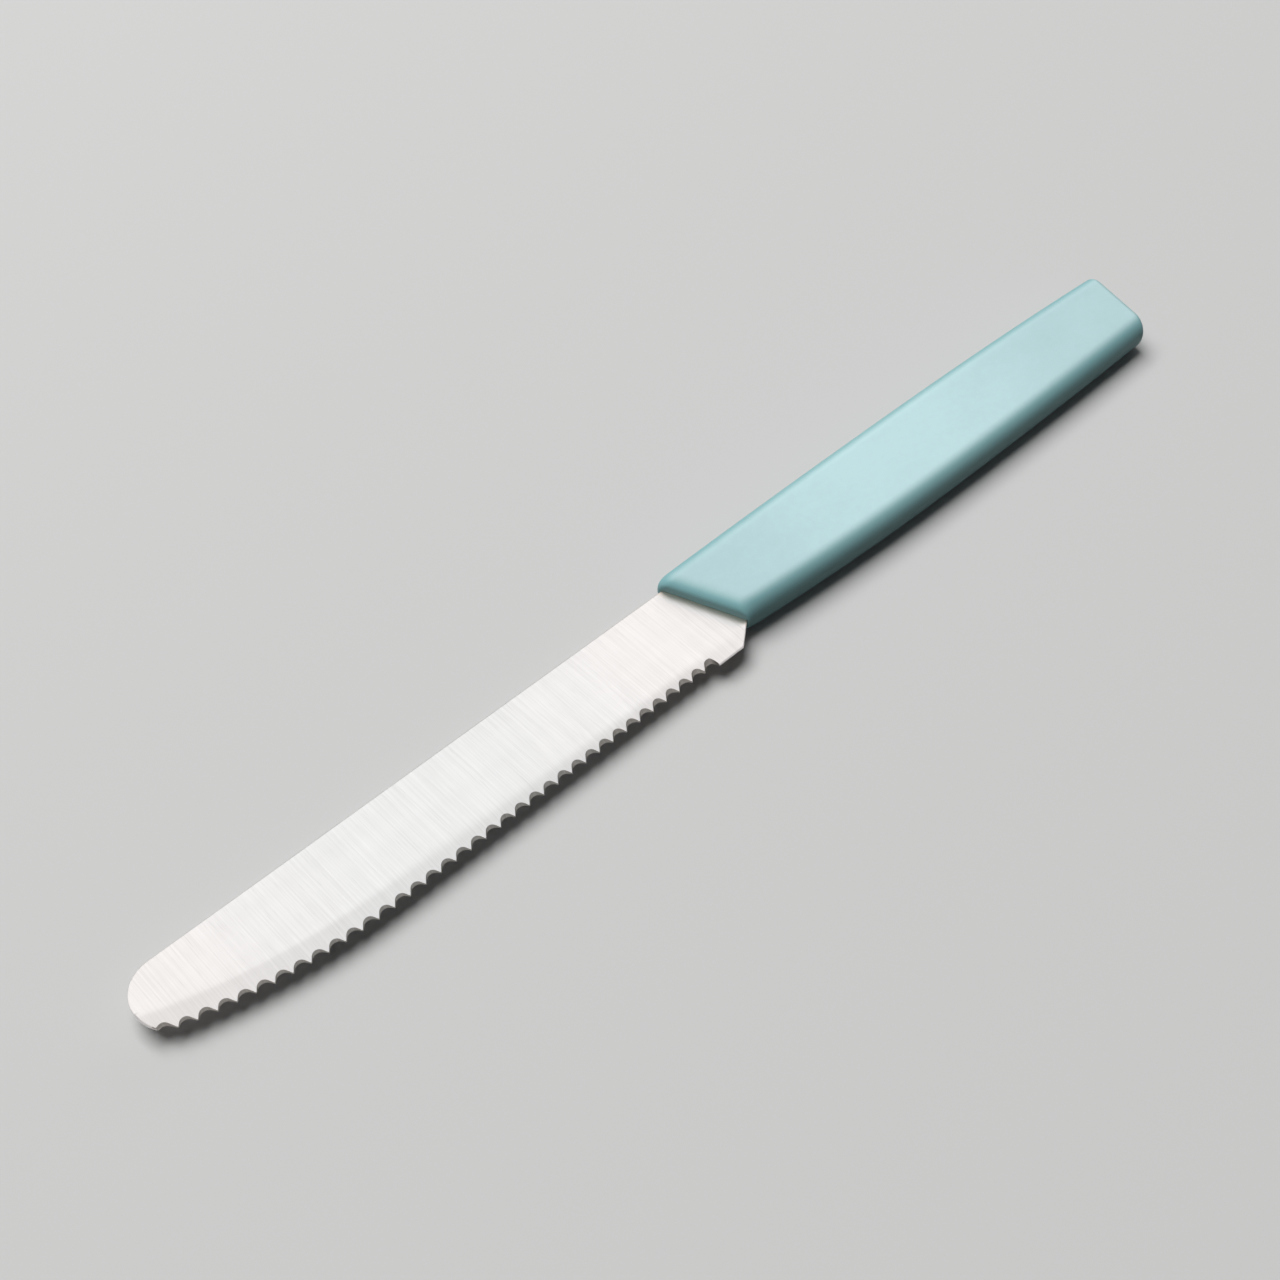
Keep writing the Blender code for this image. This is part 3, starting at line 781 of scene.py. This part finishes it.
# %% The handle's finish
aqua_plastic, tree, shader, place = new_finish("aqua_plastic")
skin = stretched_noise(tree, place, SKIN_GRAIN, detail=2.0)
flow = stretched_noise(tree, place, FLOW_PATCHES, detail=2.0)
gloss = stretched_noise(tree, place, GLOSS_GRAIN, detail=3.0)
ends = ramp(tree, away_from(tree, place, HANDLE_MIDDLE), *ENDS_REACH)
tone = weighted_sum(tree, PLASTIC_TONE, [(flow, 0.5), (gloss, 0.5), (skin, 0.2), (ends, -0.8)])
# Painted shade: the rounded sides take the darker colour, by how far they have turned away from the flats
painted_side_shade = tree.nodes.new("ShaderNodeAttribute")
painted_side_shade.attribute_name = "painted_side_shade"
flat_colour = mixed(tree, tone, AQUA_FLAT_DEEP, AQUA_FLAT_PALE)
shaded_side_colour = mixed(tree, tone, AQUA_SHADED_SIDE_DEEP, AQUA_SHADED_SIDE_PALE)
skin_and_shade_colour = mixed(tree, painted_side_shade.outputs["Fac"], flat_colour, shaded_side_colour)
tree.links.new(skin_and_shade_colour, shader.inputs["Base Color"])
tree.links.new(between(tree, gloss, *SATIN), shader.inputs["Roughness"])
shader.inputs["IOR"].default_value = PLASTIC_IOR
add_bump(tree, shader, skin, SKIN_RELIEF)
print("finish:", aqua_plastic.name)

# %% [markdown]
# ## The handle's shape
#
# In plan the handle swells gently on both long sides, with its front cut on a slant and its butt cut
# the other way. Through its thickness it is a stadium: two flats joined by half-round sides. So the
# handle is that stadium carried along, leaning a little at each end, and drawn in where the ends are
# rounded. A box with a Bevel modifier would be quicker, but it would have one rounding everywhere.

# %% Sizes of the handle
HANDLE_HALF = 0.0035
SIDE_FLAT = 0.0002          # half the straight height between the two rounded edges
SPINE_SIDE_REACH = 0.0020
SPINE_SIDE_FULLEST = 0.143
SPINE_SIDE_FRONT_DROP = 0.00036
SPINE_SIDE_BUTT_DROP = 0.0016
SPINE_SIDE_BUTT_POWER = 2.5
EDGE_SIDE_REACH = 0.0165
EDGE_SIDE_FULLEST = 0.166
EDGE_SIDE_FRONT_DROP = 0.0023
EDGE_SIDE_BUTT_DROP = 0.00065
EDGE_SIDE_FRONT_POWER = 2.4
BUTT_SLOPE = math.tan(math.radians(13.5))
# Each rounding is (how far along it reaches, how far it draws in)
FRONT_TOP_ROUND = (0.0036, 0.0017)
FRONT_SPINE_ROUND = (0.0026, 0.0015)
FRONT_EDGE_ROUND = (0.0003, 0.00012)
BUTT_TOP_ROUND = (0.0016, 0.0009)
BUTT_SPINE_ROUND = (0.0009, 0.0009)
BUTT_EDGE_ROUND = (0.0011, 0.0011)


# %% The two long sides
def spine_side(along):
    """The upper long side: fullest in one place, falling off with the square of the way to the front
    and with a higher power of the way to the butt."""
    front = (SPINE_SIDE_FULLEST - along) / (SPINE_SIDE_FULLEST - BLADE_SHOWING)
    butt = (along - SPINE_SIDE_FULLEST) / (TOTAL_LENGTH - SPINE_SIDE_FULLEST)
    front_drop = SPINE_SIDE_FRONT_DROP * np.clip(front, 0.0, None) ** 2
    butt_drop = SPINE_SIDE_BUTT_DROP * np.clip(butt, 0.0, None) ** SPINE_SIDE_BUTT_POWER
    return SPINE_SIDE_REACH - front_drop - butt_drop


def edge_side(along):
    """The lower long side, in the same way."""
    front_end = BLADE_SHOWING + EDGE_SIDE_REACH * FRONT_SLOPE
    front = (EDGE_SIDE_FULLEST - along) / (EDGE_SIDE_FULLEST - front_end)
    butt = (along - EDGE_SIDE_FULLEST) / (TOTAL_LENGTH - EDGE_SIDE_FULLEST)
    front_drop = EDGE_SIDE_FRONT_DROP * np.clip(front, 0.0, None) ** EDGE_SIDE_FRONT_POWER
    return -EDGE_SIDE_REACH + front_drop + EDGE_SIDE_BUTT_DROP * np.clip(butt, 0.0, None) ** 2


widest = spine_side(SPINE_SIDE_FULLEST) - edge_side(SPINE_SIDE_FULLEST)
print("handle %.2f mm wide and %.2f mm thick" % (1000 * widest, 2000 * HANDLE_HALF))


def drawn_in(away, rounding):
    """How far a rounded edge has drawn in, this far from the end: a quarter of an ellipse."""
    reach, most = rounding
    share = np.clip(1 - away / reach, 0.0, 1.0)
    return most * (1 - np.sqrt(1 - share ** 2))


# %% The stadium, once round
ARC_STEPS = 16
FLAT_STEPS = 22
quarter = np.linspace(0.0, math.pi / 2, ARC_STEPS + 1)
cosine = np.concatenate([np.cos(quarter), np.zeros(FLAT_STEPS - 1), -np.cos(quarter[::-1])])
rising = np.concatenate([np.sin(quarter), np.ones(FLAT_STEPS - 1), np.sin(quarter[::-1])])
between_ends = np.concatenate(
    [np.zeros(ARC_STEPS + 1), np.linspace(0.0, 1.0, FLAT_STEPS + 1)[1:-1], np.ones(ARC_STEPS + 1)]
)
HALF_ROUND = len(cosine)


def stadium(upper, lower, half):
    """Across and height of each point round a stadium, for arrays of its two ends and half thickness.

    Over the top from the spine side to the edge side, and back underneath.
    """
    side = (half - SIDE_FLAT)[:, None]
    far = upper[:, None] - side
    near = lower[:, None] + side
    across = far + (near - far) * between_ends + side * cosine
    height = SIDE_FLAT + side * rising
    once_round = np.concatenate([height, -height[:, ::-1]], axis=1)
    return np.concatenate([across, across[:, ::-1]], axis=1), once_round


# %% The handle's sections from front to butt
HANDLE_LENGTH = TOTAL_LENGTH - BLADE_SHOWING
butt_corner = BUTT_SPINE_ROUND[1] - spine_side(np.array(TOTAL_LENGTH))
BUTT_END = HANDLE_LENGTH + butt_corner * BUTT_SLOPE


def handle_sections(away):
    """One leaning stadium for each distance from the front, as plan places and heights."""
    share = away / HANDLE_LENGTH
    lean = FRONT_SLOPE * (1 - share) - BUTT_SLOPE * share
    along = BLADE_SHOWING + BUTT_END * share
    to_butt = HANDLE_LENGTH - away
    upper = spine_side(along - lean * spine_side(along))
    lower = edge_side(along + lean * EDGE_SIDE_REACH)
    upper = upper - drawn_in(away, FRONT_SPINE_ROUND) - drawn_in(to_butt, BUTT_SPINE_ROUND)
    lower = lower + drawn_in(away, FRONT_EDGE_ROUND) + drawn_in(to_butt, BUTT_EDGE_ROUND)
    half = HANDLE_HALF - drawn_in(away, FRONT_TOP_ROUND) - drawn_in(to_butt, BUTT_TOP_ROUND)
    across, height = stadium(upper, lower, half)
    return row(along[:, None] - lean[:, None] * across, across, height)


front_turn = np.linspace(0.0, math.pi / 2, 20)
front_away = FRONT_TOP_ROUND[0] * (1 - np.cos(front_turn))
butt_turn = np.linspace(math.pi / 2, 0.0, 18)
butt_away = HANDLE_LENGTH - BUTT_TOP_ROUND[0] * (1 - np.cos(butt_turn))
middle_away = np.linspace(front_away[-1], butt_away[0], 96)[1:-1]
sections = handle_sections(np.concatenate([front_away, middle_away, butt_away]))
print("sections along the handle:", len(sections))

# %% [markdown]
# ## The mouth and the pocket
#
# The plastic is moulded round the steel, so the blade comes out of a mouth that fits it closely, with
# only a hair's breadth of shadow all round. The pocket behind it follows the shoulder and the tang. It is
# made by carrying the same ring on: across the front face, over a tiny lip, and down into the handle. So
# the handle stays one closed surface, which a Boolean cut would leave to chance.

# %% Sizes of the pocket
FIT = 0.00003               # the gap round the steel
LIP = 0.00006
SLOT_SIDE = 0.25            # the slot's narrow sides start at this share of its half thickness
SLOT_UPRIGHT = 0.012        # its sections stand square to the spine over this last length,
SLOT_TURN = 0.075           # after turning from the front's slant over this one
FIRST_RING = 0.001          # its even rings begin this far behind the mouth
POCKET_HALF = HALF + FIT
front_cap = sections[0]
front_side = HANDLE_HALF - FRONT_TOP_ROUND[1] - SIDE_FLAT
corner = np.searchsorted(SIDE_FLAT + front_side * np.sin(quarter), POCKET_HALF)
last = HALF_ROUND - 1 - corner
over = np.arange(HALF_ROUND)
flat_share = (front_cap[corner, 1] - front_cap[:HALF_ROUND, 1]) / (front_cap[corner, 1] - front_cap[last, 1])
flat_share = np.clip(flat_share, 0.0, 1.0)
rise_share = np.clip(np.minimum(over, HALF_ROUND - 1 - over) / corner, 0.0, 1.0)
print("slot: %.2f mm wide, for steel of %.2f mm" % (2000 * POCKET_HALF, 2000 * HALF))


# %% The pocket's rings
def pocket_ring(near_spine, near_edge, grow):
    """Across and height once round a slot, matched point for point with the stadium."""
    top = near_spine + grow
    across = top + (near_edge - grow - top) * flat_share
    height = (POCKET_HALF + grow) * (SLOT_SIDE + (1 - SLOT_SIDE) * rise_share)
    return np.concatenate([across, across[::-1]]), np.concatenate([height, -height[::-1]])


def mouth_edge(station, lean):
    """Where the rising heel line crosses a leaning section, or the tang's lower side where that is lower."""
    rise = math.tan(HEEL_RISE)
    heel = (-BLADE_WIDTH + (station - HEEL_START - HEEL_LENGTH) * rise) / (1 + lean * rise)
    return min(heel, TANG_CENTRE - TANG_FRONT_HALF)


def pocket_rings():
    """The mouth's lip, then the pocket from its mouth to the end of the tang."""
    edge_at_mouth = mouth_edge(BLADE_SHOWING, FRONT_SLOPE)
    rings = []
    for grow, deeper in ((LIP, 0.0), (0.0, LIP)):
        across, height = pocket_ring(FIT, edge_at_mouth - FIT, grow)
        rings.append(row(BLADE_SHOWING - FRONT_SLOPE * across + deeper, across, height))
    stations = np.concatenate(
        [
            np.linspace(BLADE_SHOWING + FIRST_RING, SHOULDER + FIT, 6),
            np.linspace(SHOULDER + FIT + JUST_BEHIND, TANG_END - TANG_END_HALF, 24),
            TANG_END + FIT - (TANG_END_HALF + FIT) * (1 - np.sin(np.linspace(0.0, math.pi / 2, 9)[1:])),
        ]
    )
    for station in stations:
        lean = FRONT_SLOPE * np.clip((TANG_END - SLOT_UPRIGHT - station) / SLOT_TURN, 0.0, 1.0)
        in_tang = station > SHOULDER + FIT + JUST_BEHIND / 2
        half = float(tang_half(np.array(station - FIT)))
        top = TANG_CENTRE + half if in_tang else 0.0
        bottom = mouth_edge(station, lean)
        if in_tang:
            bottom = min(bottom, TANG_CENTRE - half)
        if station > TANG_END - TANG_END_HALF:
            bottom = TANG_CENTRE - half
        across, height = pocket_ring(top + FIT, bottom - FIT, 0.0)
        rings.append(row(station - lean * (across - TANG_CENTRE * (station > SHOULDER)), across, height))
    return rings


# %% Make the handle
# The painted side shade begins at the first of these tilts and is full at the second
SIDE_SHADE_TILT = (math.radians(6), math.radians(40))    # the flats' skin ends and the sides' begins here
FRONT_FACE_SHARES = (0.9, 0.5, 0.12)        # how far in from the rounding, of the way to the mouth
BUTT_FACE_SHARES = (0.06, 0.5, 1.0)         # how far in from the rounding, of the way to the middle
pocket = pocket_rings()
mouth = pocket[0]
front_face = [front_cap + (mouth - front_cap) * share for share in FRONT_FACE_SHARES]
butt_cap = sections[-1]
butt_centre = butt_cap.mean(axis=0)
butt_face = [butt_cap + (butt_centre - butt_cap) * share for share in BUTT_FACE_SHARES]
pocket_end = np.tile(pocket[-1].mean(axis=0), (len(mouth), 1))
grid = np.stack([pocket_end] + pocket[::-1] + front_face + list(sections) + butt_face)
handle_rings = in_frame(grid[..., 0], grid[..., 1], grid[..., 2])
handle = tube_object("moulded_handle", handle_rings, HALF_ROUND, [aqua_plastic])
# Store how far each point has turned away from the flats, as the share of painted side shade
facing = np.zeros(3 * len(handle.data.vertices), np.float32)
handle.data.vertex_normals.foreach_get("vector", facing)
tilt = np.arccos(np.clip(np.abs(facing.reshape(-1, 3)[:, 2]), 0.0, 1.0))
side_shade_share = smooth_step(*SIDE_SHADE_TILT, tilt).astype(np.float32)
handle.data.attributes.new("painted_side_shade", "FLOAT", "POINT").data.foreach_set("value", side_shade_share)
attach(handle, "root")
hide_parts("handle")
print("handle faces:", len(handle.data.polygons))

# %% [markdown]
# ## The table
#
# A plain pale table top carries the knife and takes its shadow. The camera and the steel both see it
# pale. What it throws back on to the plastic as soft light is held down, as a large matt table does
# when the lamps are flagged off, so the handle's rounded side keeps its depth. The lamps hardly reach
# the far part of the table. For the camera alone it runs on into the backdrop's own colour, as a rolled
# paper background does, so a low view shows no horizon.

# %% The floor
FLOOR_SEEN = (0.60, 0.60, 0.595)
FLOOR_FILL = (0.10, 0.10, 0.10)
FLOOR_SIZE = 4.0
FLOOR_TOP = -0.00002        # a hair below the knife, so that the two never share a plane
BACKDROP_SEEN = (0.80, 0.80, 0.795)
FAR_REACH = (0.35, 1.1)     # from the first of these to the second, the table turns into the backdrop

corners = np.array([[-1, -1, 0], [1, -1, 0], [1, 1, 0], [-1, 1, 0]]) * FLOOR_SIZE
corners[:, 2] = FLOOR_TOP
floor_mesh = bpy.data.meshes.new("table_top")
floor_mesh.from_pydata(corners.tolist(), [], [(0, 1, 2, 3)])
floor = bpy.data.objects.new("table_top", floor_mesh)
bpy.context.scene.collection.objects.link(floor)


# %% Which rays see the table pale
table_finish = bpy.data.materials.new("table_finish")
table_finish.use_nodes = True
tree = table_finish.node_tree
tree.nodes.remove(tree.nodes["Principled BSDF"])


def seen_rays(tree):
    """1 for rays from the camera and for those that gloss or glass sends on, 0 for soft light."""
    kinds = tree.nodes.new("ShaderNodeLightPath").outputs
    sent_on = calculated(tree, "MAXIMUM", kinds["Is Glossy Ray"], kinds["Is Transmission Ray"])
    return calculated(tree, "MAXIMUM", kinds["Is Camera Ray"], sent_on)


def camera_rays(tree):
    """1 for rays that come straight from the camera, 0 for all others."""
    return tree.nodes.new("ShaderNodeLightPath").outputs["Is Camera Ray"]


# %% The table's finish
matt = tree.nodes.new("ShaderNodeBsdfDiffuse")
tree.links.new(mixed(tree, seen_rays(tree), FLOOR_FILL, FLOOR_SEEN), matt.inputs["Color"])
far_off = tree.nodes.new("ShaderNodeEmission")
far_off.inputs["Color"].default_value = (*BACKDROP_SEEN, 1.0)
from_knife = tree.nodes.new("ShaderNodeVectorMath")
from_knife.operation = "LENGTH"
tree.links.new(tree.nodes.new("ShaderNodeTexCoord").outputs["Object"], from_knife.inputs[0])
far_share = ramp(tree, from_knife.outputs["Value"], *FAR_REACH)
table_top = tree.nodes.new("ShaderNodeMixShader")
tree.links.new(calculated(tree, "MULTIPLY", far_share, camera_rays(tree)), table_top.inputs[0])
tree.links.new(matt.outputs["BSDF"], table_top.inputs[1])
tree.links.new(far_off.outputs["Emission"], table_top.inputs[2])
tree.links.new(table_top.outputs["Shader"], tree.nodes["Material Output"].inputs["Surface"])
floor_mesh.materials.append(table_finish)
print("table top:", 2 * FLOOR_SIZE, "m square")

# %% [markdown]
# ## The light
#
# One large softbox stands behind the knife on its left and gives the handle its shape: bright on top,
# falling off slowly over the rounded side. A second one, above and behind, is there for the steel,
# because polished metal shows only what it reflects. A weak one at the back right draws the fine bright
# line along the edge of the butt.

# %% Softboxes
LIGHT_CENTRE = Vector((0.0, 0.0, 0.0))


def softbox(name, direction, away, size, power):
    """A rectangular lamp, away metres from the knife in this direction, turned to face it."""
    lamp = bpy.data.lights.new(name, "AREA")
    lamp.shape = "RECTANGLE"
    lamp.size, lamp.size_y = size
    lamp.energy = power
    holder = bpy.data.objects.new(name, lamp)
    holder.location = LIGHT_CENTRE + Vector(direction).normalized() * away
    holder.rotation_euler = (LIGHT_CENTRE - holder.location).to_track_quat("-Z", "Y").to_euler()
    bpy.context.scene.collection.objects.link(holder)
    return holder


key = softbox("key_softbox", (-0.08, 0.38, 0.92), away=2.2, size=(1.7, 1.7), power=57.0)
key.visible_glossy = False
softbox("steel_softbox", (0.28, 0.52, 0.81), away=1.1, size=(1.1, 0.75), power=0.54)
softbox("back_softbox", (0.86, 0.36, 0.36), away=1.0, size=(0.5, 0.3), power=0.5)

# %% [markdown]
# ## The room
#
# Around a photographer's table hang white sheets, brightest overhead. The steel mirrors them, which
# makes it nearly white from above and greyer from low down. They are a little dimmer on the side where
# the photographer stands. As soft light the room gives next to nothing, so the lamps alone shape the
# handle, and behind everything the camera sees one even backdrop.

# %% The room around the table
ROOM_FILL = (0.05, 0.05, 0.051)
ROOM_LOW = (0.52, 0.52, 0.52)
ROOM_HIGH = (0.98, 0.98, 0.975)
FRONT_SHARE = 0.86          # it is this much dimmer on the photographer's side
# Both follow the direction's parts along the axes, from -1 to 1
CLIMB = (0.05, 0.78)        # upwards: from low to high
FRONT_TO_BACK = (0.14, 0.42)        # along Y: from the photographer's side to the far side

world = bpy.data.worlds.new("studio")
bpy.context.scene.world = world
world.use_nodes = True
tree = world.node_tree
way = tree.nodes.new("ShaderNodeTexCoord").outputs["Generated"]
axes = tree.nodes.new("ShaderNodeSeparateXYZ")
tree.links.new(way, axes.inputs[0])
front_dimming = between(tree, ramp(tree, axes.outputs["Y"], *FRONT_TO_BACK), FRONT_SHARE, 1.0)
height_share = calculated(tree, "MULTIPLY", ramp(tree, axes.outputs["Z"], *CLIMB), front_dimming)
mirrored = mixed(tree, height_share, ROOM_LOW, ROOM_HIGH)
lit = mixed(tree, seen_rays(tree), ROOM_FILL, mirrored)
seen = mixed(tree, camera_rays(tree), lit, BACKDROP_SEEN)
tree.links.new(seen, tree.nodes["Background"].inputs["Color"])
print("room:", world.name)

# %% [markdown]
# ## The camera
#
# The photograph was taken from close by, from above the blade's end, so the knife narrows visibly
# towards its butt. The lens and the place below come from the even spacing of the hollows and from the
# straight spine: only one camera makes both look as they do.

# %% Camera
FOCAL_LENGTH_PIXELS = 1728.6
PICTURE_PIXELS = 1280
AZIMUTH = math.radians(43.246)
ELEVATION = math.radians(51.0)
CAMERA_PLACE = Vector((-0.13129277, -0.1225655, 0.21602694))

level = Vector((math.sin(AZIMUTH), math.cos(AZIMUTH), 0.0))
right = Vector((math.cos(AZIMUTH), -math.sin(AZIMUTH), 0.0))
ahead = level * math.cos(ELEVATION) - Vector((0.0, 0.0, math.sin(ELEVATION)))
upward = right.cross(ahead)
camera_turn = Matrix((right, upward, -ahead)).transposed().to_4x4()

lens = bpy.data.cameras.new("camera")
lens.sensor_width = 36.0
lens.lens = lens.sensor_width * FOCAL_LENGTH_PIXELS / PICTURE_PIXELS
lens.clip_start = 0.01
lens.clip_end = 20.0
camera = bpy.data.objects.new("camera", lens)
camera.matrix_world = Matrix.Translation(CAMERA_PLACE) @ camera_turn
bpy.context.scene.collection.objects.link(camera)
bpy.context.scene.camera = camera
bpy.context.scene.view_settings.view_transform = "Standard"
print("lens: %.2f mm" % lens.lens)
